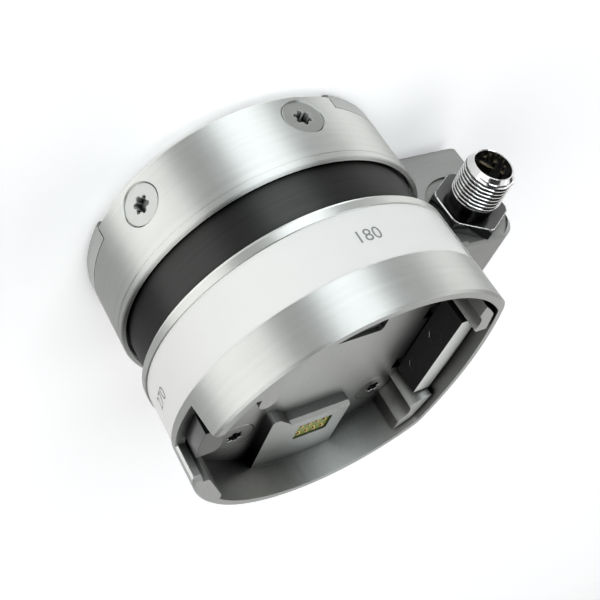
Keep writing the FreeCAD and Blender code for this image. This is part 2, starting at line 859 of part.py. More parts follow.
def contact_block():
    """Low block that carries the contacts, running to the +X wall."""
    solid = plate([(block_x, block_y0, block_corner), (block_step_x, block_step_y1, block_step_r),
                   (block_step_x, block_step_y0, block_step_r), (far, block_step_y0, 0),
                   (far, block_y1, 0), (block_x, block_y1, block_corner)], floor_z, block_top)
    bevel = plate_along_y([(block_x - past, block_top - block_chamfer - past, 0),
                           (block_x + block_chamfer + past, block_top + past, 0),
                           (block_x - past, block_top + past, 0)], block_y0, block_y1 + past)
    return solid.cut(bevel)


def make_socket_housing():
    """Milled cup that the tool plate clicks into."""
    outer = flat_sided(body_r, flat_y, flat_arc_r, flat_corner_r, body_top, rim_z)
    rim_edges = [edge for edge in outer.Edges if edge.BoundBox.ZMin > rim_z - tiny]
    outer = outer.makeChamfer(rim_chamfer, rim_edges)
    hollow = flat_sided(cavity_r, flat_in_y, flat_arc_r - rim_wall_flat, flat_corner_r - rim_wall,
                        floor_z, rim_z + past)
    left = [solid.common(hollow) for solid in latch_lands() + [lug(), heel(), contact_block()]]
    solid = outer.cut(hollow.cut(left))
    seat = countersunk_hole(socket_head_r, socket_screw_length + past, slip, rim_z)
    cuts = at_socket_screws(seat)
    cuts += [notch_cutter(), label_groove(), contact_pocket()]
    cuts += mirrored(latch_pocket())
    cuts.append(plate(rectangle(window_x0, window_x1, window_y0, window_y1, window_corner), body_top, rim_z))
    cuts.append(plate(rectangle(relief_x0, relief_x1, relief_y0, relief_y1, relief_corner),
                      floor_z - relief_depth, floor_z + past))
    half = button_half_w + run_gap
    low = button_bottom - run_gap
    high = button_bottom + button_h + run_gap
    cuts.append(plate_along_y(rectangle(-half, half, low, high, button_corner + run_gap),
                              flat_in_y - past, flat_y + past))
    return [solid.cut(cuts)]


def contact_pocket():
    """Room under the block for the carrier's flange and the contact board."""
    grow = carrier_flange + slip
    return block(window_x0 - grow, window_x1 + grow, window_y0 - grow, window_y1 + grow, body_top,
                 carrier_top - carrier_flange_t)


def at_socket_screws(shape):
    """Copies of a shape at the places of the housing's screws, on the cavity floor."""
    return [turned(placed(shape, socket_screw_circle_r, 0, floor_z), azimuth)
            for azimuth in socket_screw_azimuths]


def make_socket_screws():
    """Screws that hold the housing to the body."""
    return at_socket_screws(countersunk_screw(socket_head_r, socket_screw_length))


def contact_places():
    """Centres of the contacts, in rows along X and columns along Y."""
    middle_x = (window_x0 + window_x1) / 2
    middle_y = (window_y0 + window_y1) / 2
    places = []
    for row in range(contact_rows):
        for column in range(contact_columns):
            x = middle_x + (row - (contact_rows - 1) / 2) * contact_pitch_x
            y = middle_y + (column - (contact_columns - 1) / 2) * contact_pitch_y
            places.append((x, y))
    return places


def make_contact_carrier():
    """Insulating block that fills the window, held by its flange."""
    bottom = carrier_top - 2 * carrier_flange_t
    body = plate(rectangle(window_x0 + slip, window_x1 - slip, window_y0 + slip, window_y1 - slip,
                           window_corner), bottom, carrier_top)
    grow = carrier_flange
    flange = block(window_x0 - grow, window_x1 + grow, window_y0 - grow, window_y1 + grow,
                   bottom, carrier_top - carrier_flange_t)
    holes = [cylinder(contact_r + slip, bottom - past, rim_z, x, y) for x, y in contact_places()]
    return [body.fuse(flange).removeSplitter().cut(holes)]


def make_contact_pins():
    """Sprung contacts that the tool plate presses on."""
    top = carrier_top + contact_stand
    bottom = carrier_top - 2 * carrier_flange_t
    pins = []
    for x, y in contact_places():
        shank = cylinder(contact_r, bottom, top - contact_r / 2, x, y)
        tip = Part.makeCone(contact_r, contact_r / 2, contact_r / 2, V(x, y, top - contact_r / 2))
        pins.append(shank.fuse(tip))
    return pins


def make_contact_board():
    """Small circuit board under the contact carrier."""
    top = carrier_top - 2 * carrier_flange_t
    grow = carrier_flange
    return [block(window_x0 - grow, window_x1 + grow, window_y0 - grow, window_y1 + grow,
                  top - contact_board_t, top)]


def hook_outline(depth):
    """Outline of the hook block at one depth from the wall."""
    front = depth - cavity_r
    return [(-hook_half_w, -cavity_r, 0), (hook_half_w, -cavity_r, 0), (hook_half_w, front, hook_corner),
            (-hook_half_w, front, hook_corner)]


def make_hook_block():
    """Hardened block behind the notch, undercut towards the cavity."""
    stem = plate(hook_outline(hook_t), floor_z, hook_top)
    lip = plate(hook_outline(hook_t + hook_lip_w), hook_top - hook_lip_h, hook_top)
    return [stem.fuse(lip).common(cylinder(cavity_r - slip, floor_z, rim_z))]


def make_latch_bar():
    """Sliding bar with two legs that reach through the floor."""
    bar = block(bar_x0, bar_x1, bar_y0, bar_y1, bar_bottom, bar_top)
    half = leg_w / 2
    leg = block(leg_x - half, leg_x + half, leg_y0, leg_y1, body_top + run_gap, bar_bottom + past)
    hole = rod_along_y(link_screw_r + slip, bar_y0 - past, bar_y1 + past, link_screw_x, link_z)
    sink = rod_along_y(link_head_r + slip, bar_y0 - past, bar_y0 + link_head_h, link_screw_x, link_z)
    return [bar.multiFuse(mirrored(leg)).cut(mirrored(hole.fuse(sink)))]


def make_release_button():
    """Button in the flat wall, with a flange that stops it from inside."""
    top = button_bottom + button_h
    front = plate_along_y(rectangle(-button_half_w, button_half_w, button_bottom, top, button_corner),
                          bar_y1, flat_y + 2 * button_proud)
    crown = cylinder(flat_arc_r + button_proud, 0, rim_z, 0, flat_y - flat_arc_r)
    front = front.common(crown)
    wide = button_half_w + button_flange_w
    flange = plate_along_y(rectangle(-wide, wide, button_bottom, min(top, bar_top), button_corner),
                           bar_y1, flat_in_y)
    stop = cylinder(flat_arc_r - rim_wall_flat - slip, 0, rim_z, 0, flat_y - flat_arc_r)
    hole = rod_along_y(link_screw_r + slip, bar_y1 - past, bar_y1 + link_screw_grip + run_gap,
                       link_screw_x, link_z)
    return [front.fuse(flange.common(stop)).cut(mirrored(hole))]


def make_link_screws():
    """Two small screws that join the bar to the button."""
    head = rod_along_y(link_head_r, bar_y0, bar_y0 + link_head_h, link_screw_x, link_z)
    shank = rod_along_y(link_screw_r, bar_y0 + link_head_h, bar_y1 + link_screw_grip, link_screw_x, link_z)
    return mirrored(head.fuse(shank))


def make_latch_springs():
    """Two coil springs that push the latch back out."""
    pitch = (spring_l - 2 * spring_wire_r - 2 * slip) / spring_turns
    path = Part.makeHelix(pitch, pitch * spring_turns, spring_r)
    section = Part.Wire(Part.Circle(V(spring_r, 0, 0), V(0, 1, 0), spring_wire_r).toShape())
    coil = Part.Wire(path).makePipeShell([section], True, True)
    coil.rotate(V(0, 0, 0), V(1, 0, 0), -90)
    coil.translate(V(leg_x, spring_end_y + slip + spring_wire_r, spring_z))
    return mirrored(coil)


def make_guide_pins():
    """Pins that keep the springs straight."""
    tip = leg_y0 - travel - run_gap
    return mirrored(rod_along_y(guide_pin_r, spring_end_y - guide_pin_root, tip, leg_x, spring_z))


PIECES = {
    "adapter_plate": make_adapter_plate,
    "mounting_ring": make_mounting_ring,
    "radial_screws": make_radial_screws,
    "gap_seal": make_gap_seal,
    "band_cover": make_band_cover,
    "flexure": make_flexure,
    "flexure_screws": make_flexure_screws,
    "hub_screws": make_hub_screws,
    "sensor_board": make_sensor_board,
    "board_screws": make_board_screws,
    "optical_sensors": make_optical_sensors,
    "sensor_body": make_sensor_body,
    "label_band": make_label_band,
    "connector_shell": make_connector_shell,
    "connector_insert": make_connector_insert,
    "connector_pins": make_connector_pins,
    "connector_seal": make_connector_seal,
    "socket_housing": make_socket_housing,
    "socket_screws": make_socket_screws,
    "contact_carrier": make_contact_carrier,
    "contact_pins": make_contact_pins,
    "contact_board": make_contact_board,
    "hook_block": make_hook_block,
    "latch_bar": make_latch_bar,
    "release_button": make_release_button,
    "link_screws": make_link_screws,
    "latch_springs": make_latch_springs,
    "guide_pins": make_guide_pins,
}

os.makedirs("parts", exist_ok=True)
for name, make in PIECES.items():
    made = make()
    solids = made if isinstance(made, list) else [made]
    flat = [solid for shape in solids for solid in shape.Solids]
    shape = flat[0] if len(flat) == 1 else Part.makeCompound(flat)
    shape.exportStep("parts/" + name + ".step")
    box = shape.BoundBox
    size = (box.XMin, box.XMax, box.YMin, box.YMax, box.ZMin, box.ZMax)
    print(name, len(flat), shape.isValid(), round(shape.Volume), [round(edge, 1) for edge in size])
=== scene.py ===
"""Finishes, connector thread, printed numbers and studio for a force torque sensor.

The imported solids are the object. This script dresses them, replaces the connector's plain
shell by one with a cut thread, and sets the light and the camera.
"""

import logging
import math
from dataclasses import dataclass, field, replace
from enum import Enum
from typing import Callable, Dict, Iterable, List, Tuple, Union

import bpy
from mathutils import Matrix, Vector


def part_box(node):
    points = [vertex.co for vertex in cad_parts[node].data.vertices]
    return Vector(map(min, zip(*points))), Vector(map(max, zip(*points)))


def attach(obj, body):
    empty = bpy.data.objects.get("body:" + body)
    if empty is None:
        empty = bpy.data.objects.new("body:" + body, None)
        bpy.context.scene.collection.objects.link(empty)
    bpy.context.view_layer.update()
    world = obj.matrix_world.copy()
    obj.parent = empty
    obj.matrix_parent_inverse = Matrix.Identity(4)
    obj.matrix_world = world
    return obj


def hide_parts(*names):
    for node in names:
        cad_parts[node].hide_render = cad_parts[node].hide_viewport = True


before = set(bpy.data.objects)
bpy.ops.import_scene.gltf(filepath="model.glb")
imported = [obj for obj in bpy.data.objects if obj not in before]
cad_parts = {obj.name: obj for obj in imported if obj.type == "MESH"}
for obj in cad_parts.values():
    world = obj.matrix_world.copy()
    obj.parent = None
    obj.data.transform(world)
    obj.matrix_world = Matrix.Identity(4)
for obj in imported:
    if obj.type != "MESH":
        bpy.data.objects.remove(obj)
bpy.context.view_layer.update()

logging.basicConfig(level=logging.INFO, format="%(name)s: %(message)s")
log = logging.getLogger("sensor")

MM = 0.001
ACROSS_THE_RINGS = 0.25
COAT_ROUGHNESS = 0.1
ROUGHNESS_SPREAD = 0.04

Colour = Tuple[float, float, float]
Span = Tuple[float, float]
Socket = bpy.types.NodeSocket
Source = Union[bpy.types.NodeSocket, float, Colour]
FacePick = Callable[[Vector, Vector], bool]


class Grain(Enum):
    """How a surface was worked, which sets the direction of its fine marks."""

    TURNED = "turned"
    MILLED_X = "milled_x"
    MILLED_Y = "milled_y"
    BLASTED = "blasted"


class Body(Enum):
    """The bodies that pieces move with."""

    SENSOR = "sensor"
    LATCH = "latch"


def grey(level: float, warm: float = 0.0) -> Colour:
    """A grey of a linear level, slightly warm or cool."""
    return (level * (1 + warm), level, level * (1 - warm))


def silver(level: float) -> Colour:
    """The faintly green grey of bare machined aluminium and steel."""
    return (level * 0.985, level, level * 0.965)


class NodeDesk:
    """A node tree, with short ways to add nodes to it and join them."""

    def __init__(self, tree: bpy.types.NodeTree) -> None:
        """Starts work on a tree.

        Args:
            tree: the nodes of a material, a group or the world.
        """
        self.tree = tree

    def node(self, kind: str, **settings: object) -> bpy.types.Node:
        """Adds a node with its settings.

        Args:
            kind: the node's type.
            settings: attributes to set on it.

        Returns:
            The new node.
        """
        made = self.tree.nodes.new(kind)
        for name, value in settings.items():
            setattr(made, name, value)
        return made

    def join(self, source: Source, target: Socket) -> None:
        """Feeds a socket from another socket, or sets its value.

        Args:
            source: a socket or a plain value.
            target: the socket that gets it.
        """
        if isinstance(source, bpy.types.NodeSocket):
            self.tree.links.new(source, target)
        else:
            target.default_value = source

    def math(self, operation: str, *values: Source) -> Socket:
        """Adds a math node.

        Args:
            operation: what it works out.
            values: sockets or numbers, in order.

        Returns:
            The result's socket.
        """
        made = self.node("ShaderNodeMath", operation=operation)
        for index, value in enumerate(values):
            self.join(value, made.inputs[index])
        return made.outputs[0]

    def mapped(self, value: Socket, start: Span, end: Span, ease: bool = False) -> Socket:
        """Maps a range of numbers to another range.

        Args:
            value: the socket to map.
            start: the range that it has.
            end: the range that it gets.
            ease: whether it changes smoothly at both ends.

        Returns:
            The mapped socket.
        """
        kind = "SMOOTHSTEP" if ease else "LINEAR"
        made = self.node("ShaderNodeMapRange", interpolation_type=kind)
        self.join(value, made.inputs["Value"])
        for name, number in zip(("From Min", "From Max", "To Min", "To Max"), (*start, *end)):
            made.inputs[name].default_value = number
        return made.outputs["Result"]

    def shared(self, key: str, **values: float) -> bpy.types.Node:
        """Places a shared group with its own values.

        Args:
            key: the group's key.
            values: its inputs' values, by name.

        Returns:
            The group's node.
        """
        made = self.node("ShaderNodeGroup", node_tree=Groups.get(key))
        for name, value in values.items():
            made.inputs[name].default_value = value
        return made

    def seen(self) -> Socket:
        """Tells what the camera sees, also in metal and glass, from what only gives light.

        Returns:
            The socket, 1 for what is seen and 0 for light alone.
        """
        path = self.node("ShaderNodeLightPath").outputs
        mirrored = self.math("MAXIMUM", path["Is Glossy Ray"], path["Is Transmission Ray"])
        return self.math("MAXIMUM", path["Is Camera Ray"], mirrored)


class GroupMaker(NodeDesk):
    """Builds one shader node group with named inputs and outputs."""

    def __init__(self, name: str) -> None:
        """Starts an empty group.

        Args:
            name: the group's name.
        """
        super().__init__(bpy.data.node_groups.new(name, "ShaderNodeTree"))
        self.inlet = self.node("NodeGroupInput")
        self.outlet = self.node("NodeGroupOutput")

    def value_in(self, name: str, default: float) -> Socket:
        """Adds a number input.

        Args:
            name: the socket's name.
            default: its value where none is set.

        Returns:
            The socket that carries the value inside the group.
        """
        made = self.tree.interface.new_socket(name, in_out="INPUT", socket_type="NodeSocketFloat")
        made.default_value = default
        return self.inlet.outputs[name]

    def out(self, name: str, source: Socket, kind: str = "NodeSocketFloat") -> None:
        """Adds an output and joins it to its source.

        Args:
            name: the socket's name.
            source: the socket that feeds it.
            kind: the socket's type.
        """
        self.tree.interface.new_socket(name, in_out="OUTPUT", socket_type=kind)
        self.join(source, self.outlet.inputs[name])

    def place(self) -> Tuple[Socket, Socket, Socket]:
        """The place on the object.

        Returns:
            Its x, y and z, in metres.
        """
        split = self.node("ShaderNodeSeparateXYZ")
        self.join(self.node("ShaderNodeTexCoord").outputs["Object"], split.inputs[0])
        return split.outputs[0], split.outputs[1], split.outputs[2]

    def vector(self, *parts: Source) -> Socket:
        """Joins three numbers to a vector.

        Args:
            parts: its x, y and z, as sockets or numbers.

        Returns:
            The vector's socket.
        """
        made = self.node("ShaderNodeCombineXYZ")
        for index, value in enumerate(parts):
            self.join(value, made.inputs[index])
        return made.outputs[0]

    def noise(self, vector: Socket, scale: Source, detail: float = 2.0,
              roughness: float = 0.5) -> Socket:
        """Adds a noise texture.

        Args:
            vector: where it is read.
            scale: its scale.
            detail: how many finer layers it has.
            roughness: how strong these layers are.

        Returns:
            The socket with its value, from 0 to 1.
        """
        made = self.node("ShaderNodeTexNoise")
        for name, value in (("Vector", vector), ("Scale", scale), ("Detail", detail),
                            ("Roughness", roughness)):
            self.join(value, made.inputs[name])
        return made.outputs["Fac"]

    def weighted(self, *parts: Tuple[Socket, float]) -> Socket:
        """Adds up sockets by their weights.

        Args:
            parts: each socket with its weight.

        Returns:
            The sum's socket.
        """
        total: Source = 0.0
        for source, weight in parts:
            total = self.math("MULTIPLY_ADD", source, weight, total)
        return total


def turned_marks() -> bpy.types.NodeTree:
    """Fine rings left by the lathe, round the Z axis, on faces and on walls.

    Returns:
        The group: Pitch in rings per metre, then Tone and Height.
    """
    group = GroupMaker("turned_marks")
    pitch = group.value_in("Pitch", 4000.0)
    x, y, z = group.place()
    radius = group.math("SQRT", group.math("MULTIPLY_ADD", x, x, group.math("MULTIPLY", y, y)))
    rings = group.vector(group.math("MULTIPLY", radius, pitch),
                         group.math("MULTIPLY", z, pitch), 0.0)
    fine = group.noise(rings, 1.0, roughness=0.6)
    coarse = group.noise(rings, 0.16)
    per_turn, per_metre = 3.0, 900.0
    turn = group.math("MULTIPLY", group.math("ARCTAN2", y, x), per_turn)
    streaks = group.noise(group.vector(turn, group.math("MULTIPLY", z, per_metre),
                                       group.math("MULTIPLY", radius, per_metre)), 1.0)
    group.out("Tone", group.weighted((fine, 0.5), (coarse, 0.25), (streaks, 0.25)))
    group.out("Height", fine)
    return group.tree


def milled_marks(grain: Grain) -> bpy.types.NodeTree:
    """Straight cutter marks along one axis.

    Args:
        grain: which axis they run along.

    Returns:
        The group: Pitch in marks per metre, then Tone and Height.
    """
    group = GroupMaker("milled_marks_" + grain.value)
    pitch = group.value_in("Pitch", 3000.0)
    along, stretch = (Grain.MILLED_X, Grain.MILLED_Y).index(grain), 0.03
    parts = [group.math("MULTIPLY", part, pitch) for part in group.place()]
    parts[along] = group.math("MULTIPLY", parts[along], stretch)
    where = group.vector(*parts)
    fine = group.noise(where, 1.0, roughness=0.6)
    coarse = group.noise(where, 0.2)
    group.out("Tone", group.weighted((fine, 0.6), (coarse, 0.4)))
    group.out("Height", fine)
    return group.tree


def blasted_marks() -> bpy.types.NodeTree:
    """The even fine grain of a bead-blasted or moulded surface.

    Returns:
        The group: Pitch in grains per metre, then Tone and Height.
    """
    group = GroupMaker("blasted_marks")
    pitch = group.value_in("Pitch", 6000.0)
    where = group.vector(*group.place())
    fine = group.noise(where, pitch, detail=3.0, roughness=0.7)
    cloud = group.noise(where, 180.0)
    group.out("Tone", group.weighted((fine, 0.5), (cloud, 0.5)))
    group.out("Height", fine)
    return group.tree


def handling() -> bpy.types.NodeTree:
    """Faint smudges and dust where the part is held.

    Returns:
        The group: Size in patches per metre, then Smudge from 0 to 1.
    """
    group = GroupMaker("handling")
    size = group.value_in("Size", 70.0)
    wide = group.noise(group.vector(*group.place()), size, detail=4.0, roughness=0.6)
    group.out("Smudge", group.mapped(wide, (0.42, 0.68), (0.0, 1.0), ease=True))
    return group.tree


def edge_round_and_highlight() -> bpy.types.NodeTree:
    """Broken edges: a small round at each edge, and a mask where it is, with which the finishes
    paint a highlight along the edges.

    Returns:
        The group: Radius in metres, then Mask and Normal.
    """
    group = GroupMaker("edge_round_and_highlight")
    radius = group.value_in("Radius", 0.0002)
    bevel = group.node("ShaderNodeBevel", samples=6)
    group.join(radius, bevel.inputs["Radius"])
    dot = group.node("ShaderNodeVectorMath", operation="DOT_PRODUCT")
    group.join(bevel.outputs[0], dot.inputs[0])
    group.join(group.node("ShaderNodeNewGeometry").outputs["Normal"], dot.inputs[1])
    away = group.math("SUBTRACT", 1.0, dot.outputs["Value"])
    # The mask marks where the painted edge highlight goes.
    group.out("Mask", group.mapped(away, (0.02, 0.25), (0.0, 1.0), ease=True))
    group.out("Normal", bevel.outputs[0], "NodeSocketVector")
    return group.tree


def hollow_shade() -> bpy.types.NodeTree:
    """Painted shade: darkening of the colour in corners, recesses and narrow gaps, found by
    ambient occlusion.

    Returns:
        The group: Reach in metres, then Open, from 0 in a deep recess to 1 on an open face.
    """
    group = GroupMaker("hollow_shade")
    reach = group.value_in("Reach", 0.006)
    around = group.node("ShaderNodeAmbientOcclusion", samples=8)
    group.join(reach, around.inputs["Distance"])
    group.out("Open", group.mapped(around.outputs["AO"], (0.2, 0.9), (0.0, 1.0), ease=True))
    return group.tree


class Groups:
    """The shared node groups, each built once."""

    makers: Dict[str, Callable[[], bpy.types.NodeTree]] = {
        Grain.TURNED.value: turned_marks,
        Grain.MILLED_X.value: lambda: milled_marks(Grain.MILLED_X),
        Grain.MILLED_Y.value: lambda: milled_marks(Grain.MILLED_Y),
        Grain.BLASTED.value: blasted_marks,
        "handling": handling,
        "edge_round_and_highlight": edge_round_and_highlight,
        "hollow_shade": hollow_shade,
    }
    built: Dict[str, bpy.types.NodeTree] = {}

    @classmethod
    def get(cls, name: str) -> bpy.types.NodeTree:
        """The group of that name, built at its first use.

        Args:
            name: its key among the makers.

        Returns:
            The group's tree.
        """
        if name not in cls.built:
            cls.built[name] = cls.makers[name]()
        return cls.built[name]


@dataclass(frozen=True)
class Finish:
    """One surface finish, made into a material of its own.

    Pitch is in marks per metre. Depth, edge and reach are in millimetres: the marks' height, the
    round at the edges, and how far a hollow is felt. Contrast says how much the marks change the
    colour. The edge gain paints a highlight along the edges, and shade paints shade into the
    hollows that ambient occlusion finds.
    """

    name: str
    colour: Colour
    roughness: float
    metallic: float = 1.0
    grain: Grain = Grain.BLASTED
    pitch: float = 5200.0
    contrast: float = 0.12
    depth: float = 0.004
    smudge: float = 0.05
    edge: float = 0.15
    edge_highlight_gain: float = 0.25
    anisotropy: float = 0.0
    coat: float = 0.0
    specular: float = 0.5
    shade: float = 0.0
    reach: float = 6.0

    def material(self) -> bpy.types.Material:
        """Builds the material.

        Returns:
            The material, with its marks and smudges, a painted highlight along its edges and
            painted shade in its hollows.
        """
        made = bpy.data.materials.new(self.name)
        made.use_nodes = True
        desk = NodeDesk(made.node_tree)
        shader = made.node_tree.nodes["Principled BSDF"].inputs
        for name, value in (("Metallic", self.metallic), ("Anisotropic", self.anisotropy),
                            ("Anisotropic Rotation", ACROSS_THE_RINGS), ("Coat Weight", self.coat),
                            ("Coat Roughness", COAT_ROUGHNESS),
                            ("Specular IOR Level", self.specular)):
            shader[name].default_value = value
        marks = desk.shared(self.grain.value, Pitch=self.pitch).outputs
        edges = desk.shared("edge_round_and_highlight", Radius=self.edge * MM).outputs
        desk.join(self.tint(desk, marks["Tone"], edges["Mask"]), shader["Base Color"])
        smudge = desk.mapped(desk.shared("handling").outputs["Smudge"], (0.0, 1.0),
                             (self.roughness, self.roughness + self.smudge))
        uneven = desk.mapped(marks["Tone"], (0.0, 1.0), (-ROUGHNESS_SPREAD, ROUGHNESS_SPREAD))
        desk.join(desk.math("ADD", smudge, uneven), shader["Roughness"])
        bump = desk.node("ShaderNodeBump")
        for name, value in (("Strength", 1.0), ("Distance", self.depth * MM),
                            ("Height", marks["Height"]), ("Normal", edges["Normal"])):
            desk.join(value, bump.inputs[name])
        desk.join(bump.outputs[0], shader["Normal"])
        if self.anisotropy:
            tangent = desk.node("ShaderNodeTangent", direction_type="RADIAL", axis="Z")
            desk.join(tangent.outputs[0], shader["Tangent"])
        return made

    def tint(self, desk: NodeDesk, tone: Socket, edges: Socket) -> Socket:
        """Varies the colour by its marks, with a painted highlight along the edges and painted
        shade in the hollows.

        Args:
            desk: the material's nodes.
            tone: how light the marks are.
            edges: where the edges are.

        Returns:
            The colour's socket.
        """
        marks = desk.mapped(tone, (0.0, 1.0), (1 - self.contrast, 1 + self.contrast))
        # Painted highlight: the colour is lifted along the edges.
        level = desk.math("ADD", marks, desk.mapped(edges, (0.0, 1.0), (0.0, self.edge_highlight_gain)))
        # Painted shade: the colour is darkened in hollows, where ambient occlusion finds them.
        if self.shade:
            hollows = desk.shared("hollow_shade", Reach=self.reach * MM)
            dim = desk.mapped(hollows.outputs["Open"], (0.0, 1.0), (1 - self.shade, 1.0))
            level = desk.math("MULTIPLY", level, dim)
        scale = desk.node("ShaderNodeVectorMath", operation="SCALE")
        desk.join(self.colour, scale.inputs[0])
        desk.join(level, scale.inputs["Scale"])
        return scale.outputs[0]


# Where a finish has shade, painted shade darkens its hollows; its edge gain paints a highlight
# along its edges.
RING_ALUMINIUM = Finish("ring_turned", silver(0.78), 0.56, grain=Grain.TURNED, pitch=6500,
                        contrast=0.16, anisotropy=1.0)
SOCKET_ALUMINIUM = replace(RING_ALUMINIUM, name="socket_turned")
ADAPTER_ALUMINIUM = Finish("adapter_turned", silver(0.42), 0.3, grain=Grain.TURNED, pitch=5000,
                           anisotropy=0.6, shade=0.6, reach=3.0)
BODY_ALUMINIUM = Finish("body_milled", silver(0.76), 0.5, grain=Grain.TURNED, contrast=0.14,
                        anisotropy=1.0)
# The arm's milled faces: their own grain, and a darker level than the turned body, which is
# painted shade.
ARM_ALUMINIUM = Finish("arm_milled_painted_shade", silver(0.31), 0.38, grain=Grain.MILLED_Y, contrast=0.14,
                       shade=0.5)
# The cup's milled inside: its own grain, a darker level than the turned outside that is painted
# shade, and painted shade reaching far into the cup.
CUP_ALUMINIUM = Finish("cup_milled_painted_shade", silver(0.43), 0.4, grain=Grain.MILLED_X, contrast=0.14,
                       shade=1.0, reach=16.0)
LATCH_ALUMINIUM = Finish("latch_milled", silver(0.85), 0.42, grain=Grain.MILLED_X, shade=0.3,
                         reach=4.0)
# Painted shade: the latch bar's sides and the link screws are painted near black, and the edge
# gain paints highlights along their edges.
LATCH_PAINTED_SHADE = Finish("latch_painted_shade", grey(0.02), 0.4, metallic=0.5, grain=Grain.MILLED_X,
                    contrast=0.2, edge_highlight_gain=1.5)
FLEXURE_ALUMINIUM = Finish("flexure_milled", silver(0.66), 0.3, grain=Grain.MILLED_X, pitch=4200,
                           contrast=0.1)
DARK_ANODISED = Finish("dark_anodised", silver(0.07), 0.54, grain=Grain.TURNED, contrast=0.3,
                       edge_highlight_gain=0.6, anisotropy=1.0, shade=1.0, reach=4.0)
SCREW_STEEL = Finish("screw_steel", silver(0.62), 0.5, contrast=0.1, edge=0.2, edge_highlight_gain=0.3,
                     anisotropy=1.0, shade=1.0, reach=2.5)
SOCKET_SCREW_STEEL = Finish("socket_screw_steel", silver(0.4), 0.3, contrast=0.1, edge=0.25,
                            edge_highlight_gain=2.5, shade=1.0, reach=2.5)
SMALL_SCREW_STEEL = Finish("small_screw_steel", silver(0.3), 0.3)
HARD_STEEL = Finish("hard_steel", silver(0.13), 0.3, grain=Grain.MILLED_X, contrast=0.15,
                    edge_highlight_gain=0.6, shade=0.9, reach=10.0)
NICKEL = Finish("nickel_polished", grey(0.68, 0.01), 0.12, pitch=3000, contrast=0.04, depth=0.001,
                smudge=0.04, edge=0.14, edge_highlight_gain=0.3, shade=0.6, reach=0.9)
# Nickel painted dark: on the hexagon a painted dark reflection, in the thread's grooves and on the
# neck painted shade; its strong edge gain paints highlights along the edges.
NICKEL_PAINTED_DARK = Finish("nickel_painted_dark", grey(0.1, 0.01), 0.16, pitch=3000, contrast=0.04, depth=0.001,
                    smudge=0.04, edge=0.3, edge_highlight_gain=9.0, shade=0.6, reach=4.0)
INSERT_PLASTIC = Finish("insert_plastic", grey(0.01), 0.45, metallic=0.0, contrast=0.2,
                        edge_highlight_gain=0.5, specular=0.2)
GOLD = Finish("gold_plated", (0.72, 0.5, 0.2), 0.2, contrast=0.08, edge=0.1)
# Painted shade: the pins' gold is painted dark, and the edge gain paints small glints round their
# tips.
PIN_GOLD_PAINTED_SHADE = Finish("pin_gold_painted_shade", (0.14, 0.12, 0.08), 0.3, contrast=0.08, edge=0.14, edge_highlight_gain=5.0)
CARRIER_PLASTIC = Finish("carrier_plastic", (0.2, 0.24, 0.035), 0.42, metallic=0.0, pitch=4000,
                         contrast=0.15)
BOARD_LACQUER = Finish("board_lacquer", (0.012, 0.09, 0.04), 0.3, metallic=0.0, pitch=1500,
                       contrast=0.3, coat=0.5)
CHIP_PLASTIC = Finish("chip_plastic", grey(0.02), 0.45, metallic=0.0, contrast=0.2)
SEAL_RUBBER = Finish("seal_rubber", grey(0.02), 0.6, metallic=0.0, contrast=0.25, specular=0.3)
LABEL_FILM = Finish("label_film", (0.69, 0.685, 0.66), 0.38, metallic=0.0, pitch=2600,
                    contrast=0.02, depth=0.001, edge=0.06, edge_highlight_gain=0.0, coat=0.15)
NUMBER_INK = Finish("number_ink", grey(0.2), 0.4, metallic=0.0, pitch=4000, contrast=0.1,
                    edge=0.02, edge_highlight_gain=0.0)


def add(name: str, data: bpy.types.ID) -> bpy.types.Object:
    """Adds an object to the scene.

    Args:
        name: its name.
        data: its mesh, light or camera.

    Returns:
        The new object.
    """
    made = bpy.data.objects.new(name, data)
    bpy.context.scene.collection.objects.link(made)
    return made


def dress(finish: Finish, *nodes: str) -> None:
    """Gives CAD nodes a finish.

    Args:
        finish: the finish.
        nodes: the names of the nodes.
    """
    material = finish.material()
    for name in nodes:
        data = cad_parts[name].data
        data.materials.clear()
        data.materials.append(material)
        log.info("%s has the finish %s", name, finish.name)


def dress_faces(finish: Finish, made: bpy.types.Object, picks: FacePick) -> None:
    """Gives some faces of a dressed piece a finish of their own.

    Args:
        finish: the finish.
        made: the piece.
        picks: tells from a face's middle and normal whether it takes the finish.
    """
    made.data.materials.append(finish.material())
    last = len(made.data.materials) - 1
    for polygon in made.data.polygons:
        if picks(made.matrix_world @ polygon.center, polygon.normal):
            polygon.material_index = last
    log.info("%s has the finish %s on some faces", made.name, finish.name)


def mesh_piece(name: str, points: Iterable[Vector], faces: Iterable[Tuple[int, ...]],
               finish: Finish, body: Body) -> bpy.types.Object:
    """Makes a piece of its own from points and faces.

    Args:
        name: the piece's name.
        points: the corners, in metres in the part's frame.
        faces: the corners of each face.
        finish: its finish.
        body: the body that it moves with.

    Returns:
        The new object.
    """
    data = bpy.data.meshes.new(name)
    data.from_pydata([tuple(p) for p in points], [], list(faces))
    data.validate()
    data.update()
    data.materials.append(finish.material())
    made = add(name, data)
    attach(made, body.value)
    log.info("%s made with %d faces", name, len(data.polygons))
    return made


def smooth_by_angle(made: bpy.types.Object, degrees: float) -> None:
    """Shades a mesh smoothly except at edges sharper than an angle."""
    made.data.shade_smooth()
    made.data.set_sharp_from_angle(angle=math.radians(degrees))


@dataclass
class RobotSide:
    """Adapter plate, mounting ring, their screws and the dark band."""

    def build(self) -> None:
        """Dresses the nodes on the robot's side."""
        dress(ADAPTER_ALUMINIUM, "adapter_plate")
        dress(RING_ALUMINIUM, "mounting_ring")
        dress(SCREW_STEEL, "radial_screws")
        dress(DARK_ANODISED, "band_cover")
        dress(SEAL_RUBBER, "gap_seal", "connector_seal")


